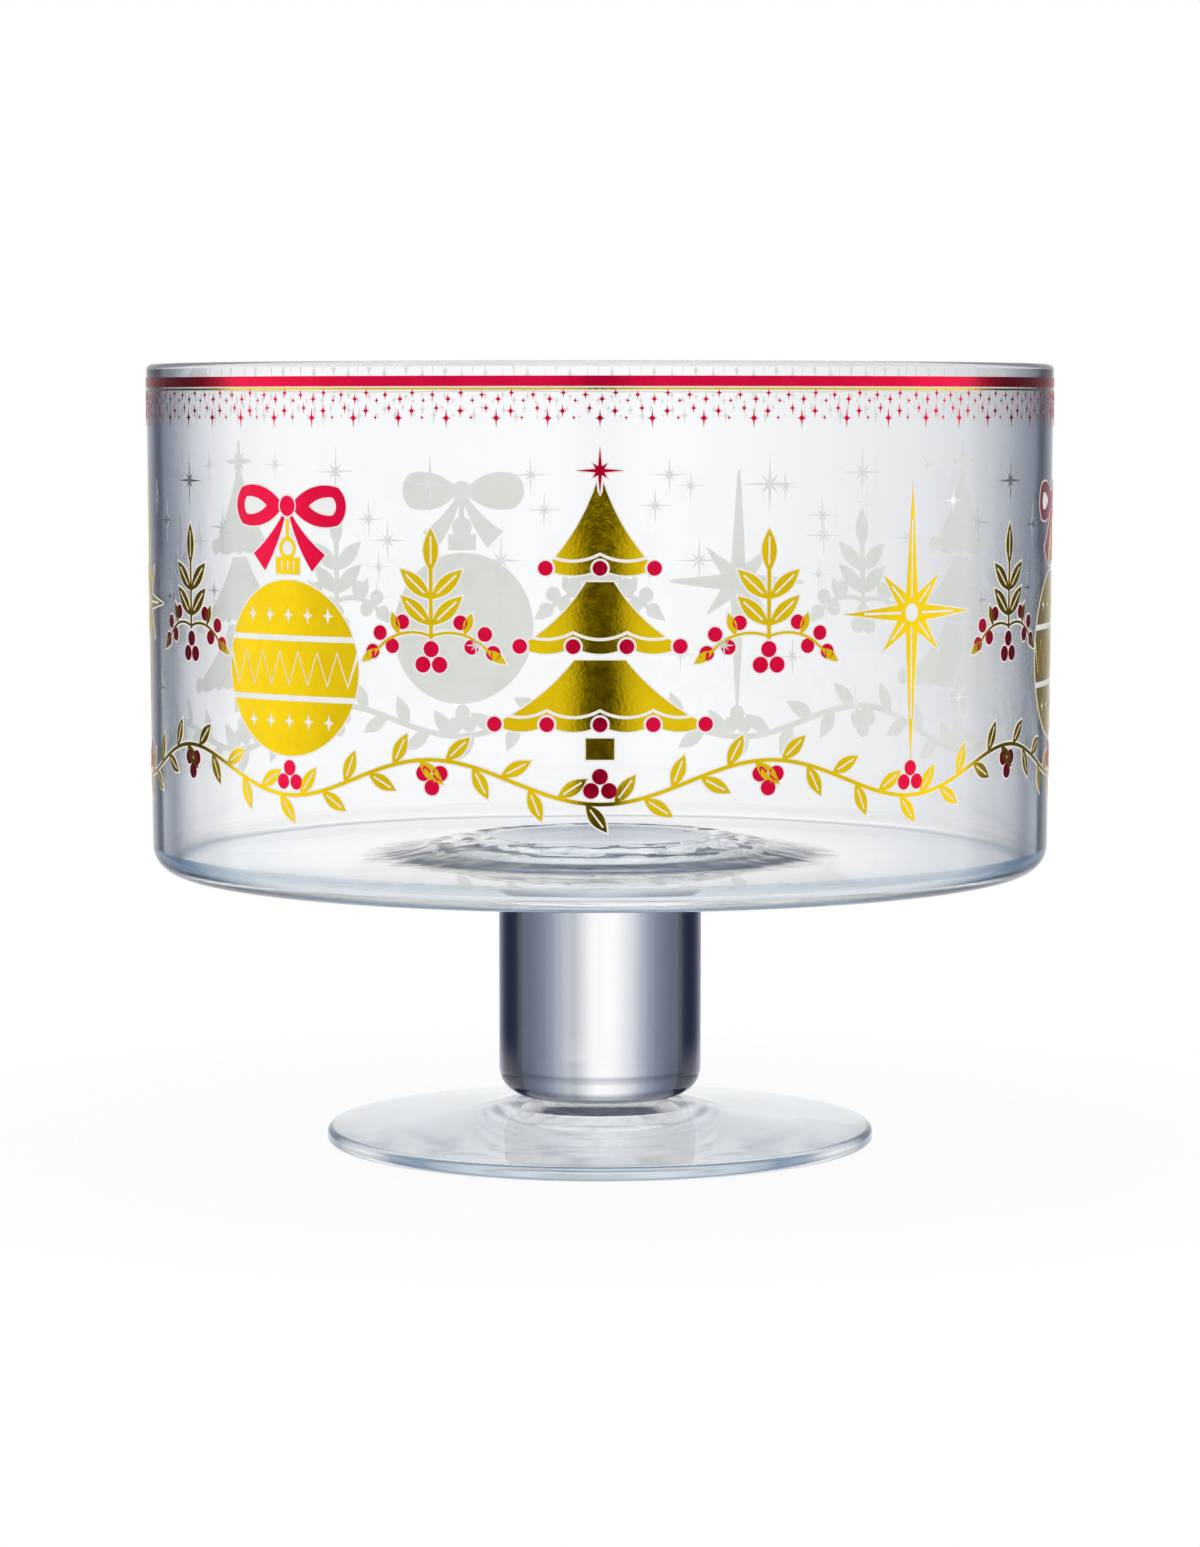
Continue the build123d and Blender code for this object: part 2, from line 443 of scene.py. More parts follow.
def grown(points, margin):
    """An outline moved outwards by a margin, with a limit at hairpins and sharp tips."""
    hairpin, least_reach = 0.3, 0.4
    area = sum(a.x * b.y - a.y * b.x for a, b in zip(points, points[1:] + points[:1]))
    turn = 1 if area > 0 else -1
    result = []
    for index, point in enumerate(points):
        to_here = (point - points[index - 1]).normalized()
        from_here = (points[(index + 1) % len(points)] - point).normalized()
        along = to_here + from_here
        if along.length < hairpin:
            result.append(point + to_here * margin)
            continue
        along.normalize()
        out = Vector((along.y, -along.x)) * turn
        reach = max(least_reach, out.dot(Vector((to_here.y, -to_here.x)) * turn))
        result.append(point + out * margin / reach)
    return result


def within(points, polygon):
    """Which of some points lie inside an outline."""
    x, y = points[:, 0], points[:, 1]
    result = np.zeros(len(points), bool)
    for first, second in zip(polygon, polygon[1:] + polygon[:1]):
        if first.y == second.y:
            continue
        crosses = (first.y > y) != (second.y > y)
        edge = first.x + (second.x - first.x) * (y - first.y) / (second.y - first.y)
        result ^= crosses & (x < edge)
    return result


def inside_shape(points, outlines, cuts):
    """Which points lie in any outline and in no cut."""
    points = np.array(points, float).reshape(-1, 2)
    result = np.zeros(len(points), bool)
    for polygon in outlines:
        result |= within(points, polygon)
    for polygon in cuts:
        result &= ~within(points, polygon)
    return result


def filled(outlines, cuts):
    """Flat triangles that fill the outlines apart from the cuts: (points, triangles)."""
    merge_distance = 1e-4
    points, edges = [], []
    for polygon in [*outlines, *cuts]:
        start = len(points)
        points += polygon
        edges += [(start + step, start + (step + 1) % len(polygon)) for step in range(len(polygon))]
    xs, ys = [point.x for point in points], [point.y for point in points]
    columns = range(1, ceil((max(xs) - min(xs)) / fill_step))
    rows = range(1, ceil((max(ys) - min(ys)) / fill_step))
    low = Vector((min(xs), min(ys)))
    grid = [low + Vector((column, row)) * fill_step for column in columns for row in rows]
    if grid:
        points += [point for point, kept in zip(grid, inside_shape(grid, outlines, cuts)) if kept]
    points, _, triangles, *_ = delaunay_2d_cdt(points, edges, [], 0, merge_distance)
    middles = [sum((points[corner] for corner in triangle), Vector((0, 0))) / 3 for triangle in triangles]
    kept = inside_shape(middles, outlines, cuts)
    return points, [triangle for triangle, keep in zip(triangles, kept) if keep]


def wrapped(point, angle, height, lift):
    """A flat point laid on the wall about an angle and a height, at a lift from the glass."""
    z = height + point.y
    turn = radians(angle) + point.x / wall_radius(z)
    radius = wall_radius(z) + lift
    return Vector((radius * sin(turn), -radius * cos(turn), z))


def film(name, prints, materials, low, high):
    """Thin closed sheets on the wall: prints are (outlines, cuts, [(angle, drop), ...]).

    The outer faces take the first material, and the faces towards the glass the second.
    """
    points, faces, slots = [], [], []
    for outlines, cuts, places in prints:
        flat, triangles = filled(outlines, cuts)
        used = sorted({corner for triangle in triangles for corner in triangle})
        order = {corner: index for index, corner in enumerate(used)}
        edges = {(t[k], t[(k + 1) % 3]) for t in triangles for k in range(3)}
        border = [(a, b) for a, b in edges if (b, a) not in edges]
        for angle, drop in places:
            inner, outer = len(points), len(points) + len(used)
            for lift in (low, high):
                points += [wrapped(flat[corner], angle, total_height - drop, lift) for corner in used]
            for triangle in triangles:
                corners = [order[corner] for corner in triangle]
                faces.append([outer + corner for corner in corners])
                faces.append([inner + corner for corner in corners[::-1]])
                slots += [0, 1]
            for a, b in border:
                a, b = order[a], order[b]
                faces.append([inner + a, inner + b, outer + b, outer + a])
                slots.append(0)
    return finish_piece(name, points, faces, slots, materials, film_smooth_angle)


# Motifs, each as lists of outlines and cuts


def fir_tree():
    """Three scalloped tiers on a trunk: gold outlines, clear cuts, and red balls and a topper."""
    trunk_width, trunk_height = 6.0, 4.5
    tiers, tier_pitch, top_tier_height, tier_gap, scallop = 3, 16.5, 19.0, 1.4, 1.5
    top_width, width_step, shoulder_step, tip_width = 23.0, 11.0, 5.0, 0.8
    side_bow, hem, slit, ball, ball_gap = 1.3, 3.0, 0.7, 1.6, 0.5
    long_ray, short_ray, topper_core, topper_lift = 5.0, 2.2, 1.0, 1.5
    gold, cuts, red = [block(trunk_width, trunk_height)], [], []
    lowest = trunk_height + tier_gap + scallop
    for tier in range(tiers):
        rank = tiers - 1 - tier
        bottom = lowest + tier_pitch * tier
        half = (top_width + width_step * rank) / 2
        shoulder = (shoulder_step * rank + tip_width) / 2
        top = bottom + (tier_pitch - tier_gap - scallop if rank else top_tier_height)
        count = rank + 2
        xs = [2 * half * index / count - half for index in range(count + 1)]
        lower = [(x, bottom, -scallop) for x in xs[:-1]]
        gold.append(outline(*lower, (half, bottom, side_bow), (shoulder, top), (-shoulder, top, side_bow)))
        line = []
        for x, next_x in zip(xs, xs[1:]):
            line += arc((x, bottom + hem), (next_x, bottom + hem), -scallop)
        cuts.append(stroke(line + [Vector((half, bottom + hem))], slit))
        for x in xs:
            cuts.append(disc(x, bottom, ball + ball_gap))
            red.append(disc(x, bottom, ball))
    tree_top = lowest + (tiers - 1) * tier_pitch + top_tier_height
    topper = rays([long_ray, short_ray] * 4, topper_core, 0, tree_top + topper_lift)
    cuts.append(grown(topper, ball_gap))
    red.append(topper)
    return gold, cuts, red


def bauble():
    """Round bauble with clear stripes, a zigzag and small stars, and a fluted cap, a ring and a thread."""
    radius, stripe, stripe_offset, stripe_overrun = 19.0, 1.3, 6.5, 0.5
    zigzags, zigzag_gap, slit = 7, 1.6, 0.9
    star_width, star_height, star_core, star_pitch, star_rise = 1.5, 2.1, 0.6, 5.6, 5.0
    cap_width, cap_height, flute_width, flute_pitch, flute_margin = 7.0, 3.6, 0.5, 1.75, 0.7
    ring_radius, ring_width, thread, bow_clearance = 2.4, 0.8, 0.8, 2.8
    gold, cuts = [disc(0, 0, radius)], []
    for side in (1, -1):
        cuts.append(block(2 * (radius + stripe_overrun), stripe, side * stripe_offset - stripe / 2))
    pitch = 2 * radius / zigzags
    swing = stripe_offset - stripe - zigzag_gap
    corners = [(pitch * (step / 2) - radius, swing * (-1) ** step) for step in range(2 * zigzags + 1)]
    cuts.append(stroke(corners, slit))
    for index in range(-2, 3):
        for side in (1, -1):
            place = (star_pitch * index, side * (stripe_offset + star_rise))
            cuts.append(rays([star_width, star_height] * 2, star_core, *place))
    cap_bottom = radius + stripe
    gold.append(block(cap_width, cap_height, cap_bottom))
    flute = block(flute_width, cap_height - 2 * flute_margin, cap_bottom + flute_margin)
    for index in (-1, 0, 1):
        cuts.append([point + Vector((flute_pitch * index, 0)) for point in flute])
    ring_middle = cap_bottom + cap_height + ring_radius - ring_width / 2
    gold.append(disc(0, ring_middle, ring_radius))
    cuts.append(disc(0, ring_middle, ring_radius - ring_width))
    thread_bottom = ring_middle + ring_radius - ring_width / 2
    thread_top = bauble_drop - bow_drop - bow_clearance
    gold.append(block(thread, thread_top - thread_bottom, thread_bottom))
    return gold, cuts


def bow():
    """Ribbon bow with two loops, a knot and two tails: red outlines, clear cuts, and the knot by itself."""
    loop_length, loop_width, tail_length, tail_width, tail_bow = 12.0, 8.0, 14.0, 3.6, 0.8
    hole_start, hole_margin, hole_half, hole_bow, hole_end_bow = 4.0, 1.4, 1.9, 0.7, 0.9
    knot, knot_gap = 4.4, 0.45
    bulge = loop_width / 4
    tip = knot / 2 + loop_length
    hole_end = tip - hole_margin
    tail_end = tail_length / 2
    loop = outline((knot / 4, 0, -bulge), (tip, -loop_width / 2, -bulge), (tip, loop_width / 2, -bulge))
    hole = outline((knot / 2 + hole_start, 0, -hole_bow), (hole_end, -hole_half, -hole_end_bow),
                   (hole_end, hole_half, -hole_bow))
    tail = outline((0, 0, -tail_bow), (tail_end, -tail_length),
                   (tail_end + tail_width, tail_width - tail_length, tail_bow))
    red, cuts = [disc(0, 0, knot / 2)], []
    for side in (1, -1):
        red += [flipped(loop, side), flipped(tail, side)]
        cuts.append(flipped(hole, side))
    cuts.append(disc(0, 0, knot / 2 + knot_gap))
    return red, cuts, [disc(0, 0, knot / 2)]


def festive_star():
    """Eight-rayed star with a clear middle and a fine clear fold along each ray."""
    side, slant, up, down, core, hole = 18.5, 11.5, 28.0, 32.0, 4.4, 2.0
    fold_gap, fold_share, fold_width = 1.0, 0.72, 0.55
    lengths = (side, slant, up, slant, side, slant, down, slant)
    gold = [rays(lengths, core)]
    cuts = [disc(0, 0, hole)]
    for index, length in enumerate(lengths):
        angle = 360 / len(lengths) * index
        ends = [turned_by(Vector((reach, 0)), angle) for reach in (hole + fold_gap, fold_share * length)]
        cuts.append(stroke(ends, fold_width))
    return gold, cuts


def sprig():
    """Upright sprig of two leaf pairs and a tip leaf, with berries under it and a twig to each side."""
    length, width, pitch, lift, stem_width, tail, vein = 9.5, 3.4, 5.6, 42.0, 0.8, 2.8, 0.45
    gold = [block(stem_width, 2 * pitch + length / 4 + tail, -tail)]
    cuts = []
    places = [((0, rise), angle) for rise in (0, pitch) for angle in (lift, 180 - lift)]
    for base, angle in [*places, ((0, 2 * pitch), 90)]:
        gold.append(leaf(base, angle, length, width))
        cuts.append(leaf_vein(base, angle, length, vein))
    radius, ring, gap = 1.75, 2.2, 0.4
    middle = -(tail + gap + radius + ring)
    red = [disc(ring * cos(turn), middle + ring * sin(turn), radius)
           for turn in (pi / 2, pi * 7 / 6, pi * 11 / 6)]
    twig, twig_start, droop, twig_bow, twig_width = 13.0, -0.8 * tail, 3.4, 2.2, 0.55
    spray = ((0.42, 2.3), (0.6, -2.2), (0.8, 2.2), (1.0, 0.0))
    spray_radius, spray_shift = 1.6, 0.8
    small_leaf, end_lean, middle_lean = (5.0, 2.0), 125, 20
    for side in (1, -1):
        end = Vector((side * twig, twig_start - droop))
        path = [*arc((0, twig_start), end, side * twig_bow), end]
        gold.append(stroke(path, twig_width))
        for share, rise in spray:
            berry = path[round(share * (len(path) - 1))] + Vector((side * spray_shift, rise))
            red.append(disc(berry.x, berry.y, spray_radius))
        gold.append(leaf(path[-2], 90 - side * end_lean, *small_leaf))
        gold.append(leaf(path[len(path) // 2], 90 - side * middle_lean, *small_leaf))
    return gold, cuts, red


def vine():
    """One wave of the leaf vine under the motifs, with berries at its low and high points."""
    length, width, vein, stem_width, leaves, lift, path_steps = 7.6, 3.0, 0.4, 0.8, 12, 48.0, 48
    berry_radius, berry_cluster = 1.7, ((-1.9, 2.9), (1.9, 2.9), (0.0, 5.9))
    span = 2 * pi * wall_radius(total_height - vine_drop) * motif_step / 360
    wave = 2 * pi / span

    def spot(x):
        """Point of the vine's stem."""
        return Vector((x, vine_swing * cos(wave * x)))

    path = [spot(span * (step / path_steps - 0.5)) for step in range(path_steps + 1)]
    gold, cuts, red = [stroke(path, stem_width)], [], []
    for index in range(leaves):
        x = span * ((index + 0.5) / leaves - 0.5)
        slope = degrees(atan(-vine_swing * wave * sin(wave * x)))
        angle = slope + lift * (-1) ** index
        gold.append(leaf(spot(x), angle, length, width))
        cuts.append(leaf_vein(spot(x), angle, length, vein))
    for x, side in ((0.0, -1), (span / 2, 1)):
        for dx, dy in berry_cluster:
            place = spot(x) + Vector((dx, side * dy))
            red.append(disc(place.x, place.y, berry_radius))
    return gold, cuts, red


def sparkle(size):
    """Eight-rayed sparkle with four long rays."""
    short_ray, core = 0.42 * size, 0.13 * size
    return [rays([size, short_ray] * 4, core)]


def frieze_star(half_width, half_height):
    """Four-rayed star with a round middle."""
    core, dot = 0.26 * half_width, 0.46 * half_width
    return [rays([half_width, half_height] * 2, core), disc(0, 0, dot)]


# Materials

white = (1.0, 1.0, 1.0)
upward = (0, 0, 1)
outward = (1, 1, 0)

# Most values of a noise lie between these
noise_low = 0.3
noise_high = 0.7

# Powers of brightness for red, green and blue, which make dark parts bluish. The glass shader takes the
# square root of its colour, so the powers for glass are near 2.
glass_blue = (2.26, 2.1, 1.76)
stem_blue = (2.34, 2.14, 1.68)
deep_blue = (2.8, 2.1, 1.5)
backdrop_blue = (1.05, 1.0, 0.92)
ceiling_blue = (1.1, 1.0, 0.86)


class Look:
    """The nodes of a material or a world, with a method for each kind of result used here."""

    def __init__(self, owner):
        owner.use_nodes = True
        self.nodes = owner.node_tree.nodes
        self.link = owner.node_tree.links.new

    def feed(self, node, inputs):
        """Links inputs of a node to sockets, or sets them to fixed values."""
        for name, value in inputs.items():
            if isinstance(value, bpy.types.NodeSocket):
                self.link(value, node.inputs[name])
            else:
                node.inputs[name].default_value = value

    def add(self, kind, inputs=None, **settings):
        """New node of a kind with its settings and inputs."""
        node = self.nodes.new(kind)
        for name, value in settings.items():
            setattr(node, name, value)
        self.feed(node, inputs or {})
        return node

    def place(self):
        """Place on the piece in metres."""
        return self.add("ShaderNodeTexCoord").outputs["Object"]

    def math(self, operation, *values):
        """Result of an operation on values."""
        return self.add("ShaderNodeMath", dict(enumerate(values)), operation=operation).outputs["Value"]

    def vector(self, operation, *vectors, result="Vector"):
        """Result of an operation on vectors."""
        node = self.add("ShaderNodeVectorMath", dict(enumerate(vectors)), operation=operation)
        return node.outputs[result]

    def distance(self, axes):
        """Height on the piece for upward axes, and distance from its middle line for outward ones."""
        return self.vector("LENGTH", self.vector("MULTIPLY", self.place(), axes), result="Value")

    def mapped(self, value, low, high, from_low=noise_low, from_high=noise_high):
        """A value mapped from one range to another."""
        inputs = {"Value": value, "From Min": from_low, "From Max": from_high,
                  "To Min": low, "To Max": high}
        return self.add("ShaderNodeMapRange", inputs).outputs["Result"]

    def ramp(self, value, stops):
        """Colour ramp over a value: stops are (position, (r, g, b))."""
        node = self.add("ShaderNodeValToRGB", {"Fac": value})
        elements = node.color_ramp.elements
        while len(elements) < len(stops):
            elements.new(0.5)
        for element, (position, colour) in zip(elements, stops):
            element.position = position
            element.color = (*colour, 1)
        return node.outputs["Color"]

    def mix(self, factor, first, second, blend="MIX"):
        """Colour between two sockets or fixed colours."""
        inputs = {"Factor": factor}
        for index, colour in ((6, first), (7, second)):
            inputs[index] = (*colour, 1) if isinstance(colour, tuple) else colour
        return self.add("ShaderNodeMix", inputs, data_type="RGBA", blend_type=blend).outputs[2]

    def mix_shaders(self, share, first, second):
        """Shader between two others."""
        return self.add("ShaderNodeMixShader", {"Fac": share, 1: first, 2: second}).outputs["Shader"]

    def noise(self, scale, detail=2.0, roughness=0.5):
        """Noise over the piece, its features about 1/scale metres long."""
        inputs = {"Vector": self.place(), "Scale": scale, "Detail": detail, "Roughness": roughness}
        return self.add("ShaderNodeTexNoise", inputs).outputs["Fac"]

    def mottled(self, pattern, colours):
        """Colour that wanders between two with a noise."""
        return self.ramp(pattern, list(zip((noise_low, noise_high), colours)))

    def highlight_swirls(self, outer, inner):
        """Wobbly rings of painted highlight about the piece's axis, growing from an outer radius to an
        inner one.
        """
        inputs = {"Vector": self.place(), "Scale": 42, "Distortion": 7, "Detail": 3, "Detail Scale": 2.5}
        rings = self.add("ShaderNodeTexWave", inputs, wave_type="RINGS", rings_direction="Z")
        crests = self.mapped(rings.outputs["Fac"], 0.0, 1.0, 0.5, 0.72)
        nearness = self.mapped(self.distance(outward), 0.0, 1.0, outer * MM, inner * MM)
        return self.math("MULTIPLY", crests, nearness)

    def bump(self, pattern, height, **under):
        """Bump of a height given in metres, over another bump if that is given as Normal."""
        inputs = {"Height": pattern, "Distance": height, **under}
        return self.add("ShaderNodeBump", inputs).outputs["Normal"]

    def show(self, surface):
        """Puts a shader on the material's surface."""
        self.feed(self.nodes["Material Output"], {"Surface": surface})


def new_material(name):
    """Material with a Principled shader: (material, its look, the shader)."""
    material = bpy.data.materials.new(name)
    look = Look(material)
    return material, look, look.nodes["Principled BSDF"]


def foil(name, colours, rough, coat):
    """Metallic print: mottled colour, uneven gloss, fine grain and soft ripples."""
    material, look, shader = new_material(name)
    ripples = look.bump(look.noise(scale=150, detail=1), height=0.00002)
    grain = look.bump(look.noise(scale=1300), height=0.000013, Normal=ripples)
    look.feed(shader, {
        "Base Color": look.mottled(look.noise(scale=140, detail=4, roughness=0.6), colours),
        "Roughness": look.mapped(look.noise(scale=420, detail=3), *rough),
        "Metallic": 1.0,
        "Coat Weight": coat,
        "Coat Roughness": 0.06,
        "Normal": grain,
    })
    return material


def undercoat_material(name, mottle, colours, rough, grain=None):
    """Pale undercoat of the print: mottled, with a fine grain where its height is given."""
    material, look, shader = new_material(name)
    pattern = look.noise(*mottle)
    colour, roughness = look.mottled(pattern, colours), look.mapped(pattern, *rough)
    look.feed(shader, {"Base Color": colour, "Roughness": roughness})
    if grain:
        look.feed(shader, {"Normal": look.bump(look.noise(scale=1500), grain)})
    return material


def glass(name, stops, wave, wave_scale=38, rough=0.004, clearness=1.0, upright=False,
          turning=None, highlight_swirls=None):
    """Clear glass with faint waves, its colour painted shade that darkens where the sight line grazes it.

    The darkening stands in for the dark edges and bands that refraction of a dark surround gives. The stops
    give the painted shade from 0, straight on, to 1, along the face. It is laid on where light goes in.
    Less clearness scatters some light. An upright piece takes the painted shade as if its face stood
    straight up, so its rounded end stays clear. turning is (axes, (start, end), stops): the painted shade
    turns to those stops from the one distance along the axes down to the other. Pale swirls of painted
    highlight set in between the two radii given for them.
    """
    # The pale colour of the painted highlight swirls
    ior, swirl_highlight_colour = 1.5, (0.9, 0.95, 1.0)
    material, look, shader = new_material(name)
    surface = look.add("ShaderNodeNewGeometry").outputs
    graze = {"Blend": 0.5}
    if upright:
        level = look.vector("MULTIPLY", surface["Normal"], outward)
        graze["Normal"] = look.vector("NORMALIZE", level)
    facing = look.add("ShaderNodeLayerWeight", graze).outputs["Facing"]
    colour = look.ramp(facing, stops)
    if turning:
        axes, (start, end), other_stops = turning
        fade = look.mapped(look.distance(axes), 1.0, 0.0, end * MM, start * MM)
        colour = look.mix(fade, colour, look.ramp(facing, other_stops))
    if highlight_swirls:
        colour = look.mix(look.highlight_swirls(*highlight_swirls), colour, swirl_highlight_colour)
    look.feed(shader, {
        "Base Color": look.mix(surface["Backfacing"], colour, white),
        "Transmission Weight": clearness,
        "IOR": ior,
        "Roughness": look.mapped(look.noise(scale=90), rough / 2, rough),
        "Normal": look.bump(look.noise(scale=wave_scale, detail=1), wave),
    })
    return material


def joint_material():
    """Fused faces inside the glass, which bend no light."""
    material, look, shader = new_material("fused_joint")
    look.nodes.remove(shader)
    look.show(look.add("ShaderNodeBsdfTransparent").outputs["BSDF"])
    return material


def shade_stops(levels, powers=glass_blue):
    """Ramp stops from (position, brightness), bluish where it is dark: the glass's painted shade, and the
    studio's light.
    """
    return [(position, tuple(level**power for power in powers)) for position, level in levels]


# Heights on the wall, and radii on the floor and the mound, between which one painted shade turns to
# another, and the radii between which painted highlight swirls set in
wall_turn = (140.0, 80.0)
floor_turn = (84.0, 58.0)
mound_turn = (mound_radius, 50.0)
highlight_swirl_radii = (43.0, 37.0)

# Stops of painted shade: near clear for the floor's middle, and dark bluish bands where the sight line
# grazes the lower wall and the mound's slope
clear_floor = shade_stops([(0.0, 0.99), (1.0, 0.97)])
low_wall_shade = shade_stops([
    (0.0, 0.98), (0.25, 0.98), (0.34, 0.96), (0.49, 0.91), (0.56, 0.87), (0.61, 0.75), (0.66, 0.54),
    (0.69, 0.47), (0.72, 0.52), (0.745, 0.6), (0.77, 0.56), (0.79, 0.2), (0.81, 0.1), (0.84, 0.13),
    (0.87, 0.3), (1.0, 0.5),
])
mound_slope_shade = shade_stops([
    (0.0, 0.99), (0.5, 0.97), (0.64, 0.8), (0.7, 0.2), (0.75, 0.05), (0.86, 0.02), (0.92, 0.03),
    (0.96, 0.12), (1.0, 0.4),
], deep_blue)
joint = joint_material()
# Painted shade on every glass skin of the bowl: the wall darkens at its edges, the heel, curve, dish and
# floor in dark bands, the inner wall and rim a little, and the mound's slope goes dark with painted
# highlight swirls
bowl_skins = {
    "wall": glass("wall_glass", shade_stops([
        (0.0, 0.98), (0.25, 0.97), (0.34, 0.925), (0.49, 0.825), (0.56, 0.69), (0.61, 0.53), (0.66, 0.42),
        (0.72, 0.34), (0.75, 0.2), (0.77, 0.1), (0.8, 0.1), (0.83, 0.17), (0.87, 0.27), (1.0, 0.3),
    ]), wave=0.00002, turning=(upward, wall_turn, low_wall_shade)),
    "joint": joint,
    "clear": glass("clear_glass", shade_stops([
        (0.0, 0.98), (0.7, 0.965), (0.85, 0.86), (1.0, 0.75),
    ], deep_blue), wave=0.00004),
    "mound": glass("mound_glass", clear_floor, wave=0.0008, wave_scale=130,
                   turning=(outward, mound_turn, mound_slope_shade), highlight_swirls=highlight_swirl_radii),
    "curve": glass("curve_glass", shade_stops([
        (0.0, 0.99), (0.5, 0.98), (0.75, 0.8), (0.9, 0.5), (1.0, 0.5),
    ]), wave=0.00004),
    "heel": glass("heel_glass", shade_stops([
        (0.0, 0.95), (0.2, 0.9), (0.45, 0.8), (0.55, 0.62), (0.62, 0.42), (0.7, 0.35), (0.8, 0.45),
        (1.0, 0.5),
    ], deep_blue), wave=0.00006, clearness=0.85),
    "dish": glass("dish_glass", shade_stops([
        (0.0, 0.99), (0.6, 0.95), (0.75, 0.7), (0.84, 0.4), (0.89, 0.3), (0.95, 0.35), (1.0, 0.45),
    ], deep_blue), wave=0.0001),
    "rim": glass("rim_glass", shade_stops([
        (0.0, 0.96), (0.7, 0.9), (1.0, 0.8),
    ]), wave=0.00002, rough=0.2, clearness=0.6),
    "floor": glass("floor_glass", shade_stops([
        (0.0, 0.98), (0.5, 0.96), (0.65, 0.86), (0.74, 0.78), (0.84, 0.6), (0.893, 0.55), (0.905, 0.85),
        (0.93, 0.97), (1.0, 0.97),
    ], deep_blue), wave=0.00006, turning=(outward, floor_turn, clear_floor)),
}
# Painted shade: the stem's side darkens fast as the sight line grazes it, in place of the dark edges that
# refraction gives, and the low part of its rounded end is painted dark
stem_skins = {
    "side": glass("stem_glass", shade_stops([
        (0.0, 1.0), (0.015, 0.97), (0.04, 0.8), (0.088, 0.5), (0.13, 0.33), (0.18, 0.22), (0.25, 0.14),
        (0.31, 0.1), (0.365, 0.085), (0.375, 0.03), (0.6, 0.02), (0.7, 0.06), (0.8, 0.2), (1.0, 0.2),
    ], stem_blue), wave=0.00003, upright=True),
    "joint": joint,
    "shaded": glass("shaded_glass", shade_stops([
        (0.0, 0.95), (0.35, 0.9), (0.45, 0.2), (0.8, 0.1), (1.0, 0.2),
    ]), wave=0.00004),
}
# Painted shade on the foot: its top darkens to a bluish grey where the sight line grazes it, its edge has
# painted dark bands round one pale painted highlight band, and its underside greys only a little
foot_skins = {
    "top": glass("foot_glass", shade_stops([
        (0.0, 0.96), (0.5, 0.95), (0.76, 0.94), (0.84, 0.82), (0.92, 0.76), (1.0, 0.8),
    ], deep_blue), wave=0.00003),
    "joint": joint,
    "edge": glass("edge_glass", shade_stops([
        (0.0, 0.8), (0.12, 0.75), (0.25, 0.35), (0.36, 0.45), (0.48, 1.0), (0.6, 0.9), (0.72, 0.4),
        (0.85, 0.5), (1.0, 0.5),
    ], deep_blue), wave=0.00006),
    "base": glass("base_glass", shade_stops([(0.0, 0.98), (1.0, 0.94)]), wave=0.00002, rough=0.1),
    # Painted shade: a dark crescent on the foot's top under the stem's rounded end, where the sight line
    # meets it at a middle slant
    "crevice_shade": glass("crevice_shade_glass", shade_stops([
        (0.0, 0.95), (0.35, 0.9), (0.45, 0.1), (0.63, 0.05), (0.7, 0.9), (1.0, 0.95),
    ]), wave=0.00004),
}
gold_foil = foil("gold_foil", ((0.72, 0.49, 0.001), (0.8, 0.56, 0.003)), (0.08, 0.14), coat=0.1)
red_foil = foil("red_foil", ((0.66, 0.001, 0.04), (0.76, 0.003, 0.055)), (0.17, 0.24), coat=0.1)
silver_foil = foil("silver_foil", ((0.74, 0.77, 0.8), (0.86, 0.88, 0.9)), (0.2, 0.32), coat=0.2)
print_base = undercoat_material("print_base", mottle=(220, 4, 0.65), rough=(0.45, 0.6), grain=0.00001,
                                colours=((0.9, 0.9, 0.8), (0.94, 0.94, 0.87)))
print_margin = undercoat_material("print_margin", mottle=(300, 3), rough=(0.3, 0.4),
                                  colours=((0.8, 0.8, 0.78), (0.88, 0.88, 0.87)))


# Glass pieces

bowl = turned("bowl_glass", bowl_profile(), bowl_skins, bowl_region, inside_wave)
stem = turned("stem_glass", stem_profile(), stem_skins, stem_region, stem_wave)
foot = turned("foot_glass", foot_profile(), foot_skins, foot_region, foot_wave)
for piece, node in ((bowl, "bowl"), (stem, "stem"), (foot, "foot")):
    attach(piece, "root")
    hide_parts(node)


# Bands under the rim


def band(name, top, height, material):
    """Ring of print round the wall."""
    bottom = top - height
    corners = ((foil_lift, bottom), (foil_top, bottom), (foil_top, top), (foil_lift, top))
    profile = [Vector((wall_radius(z) + lift, z)) for lift, z in corners]
    middle = (foil_lift + foil_top) / 2

    def side(radius, height):
        """Undercoat towards the glass, and foil on the other faces."""
        towards_glass = radius < wall_radius(height) + middle and bottom < height < top
        return "base" if towards_glass else "foil"

    return turned(name, profile, {"foil": material, "base": print_base}, side, closed=True)


band_top = total_height - band_drop
rim_band = band("rim_band_foil", band_top, band_height, red_foil)
rim_line = band("rim_line_foil", band_top - band_height - line_gap, line_height, gold_foil)


# Star frieze

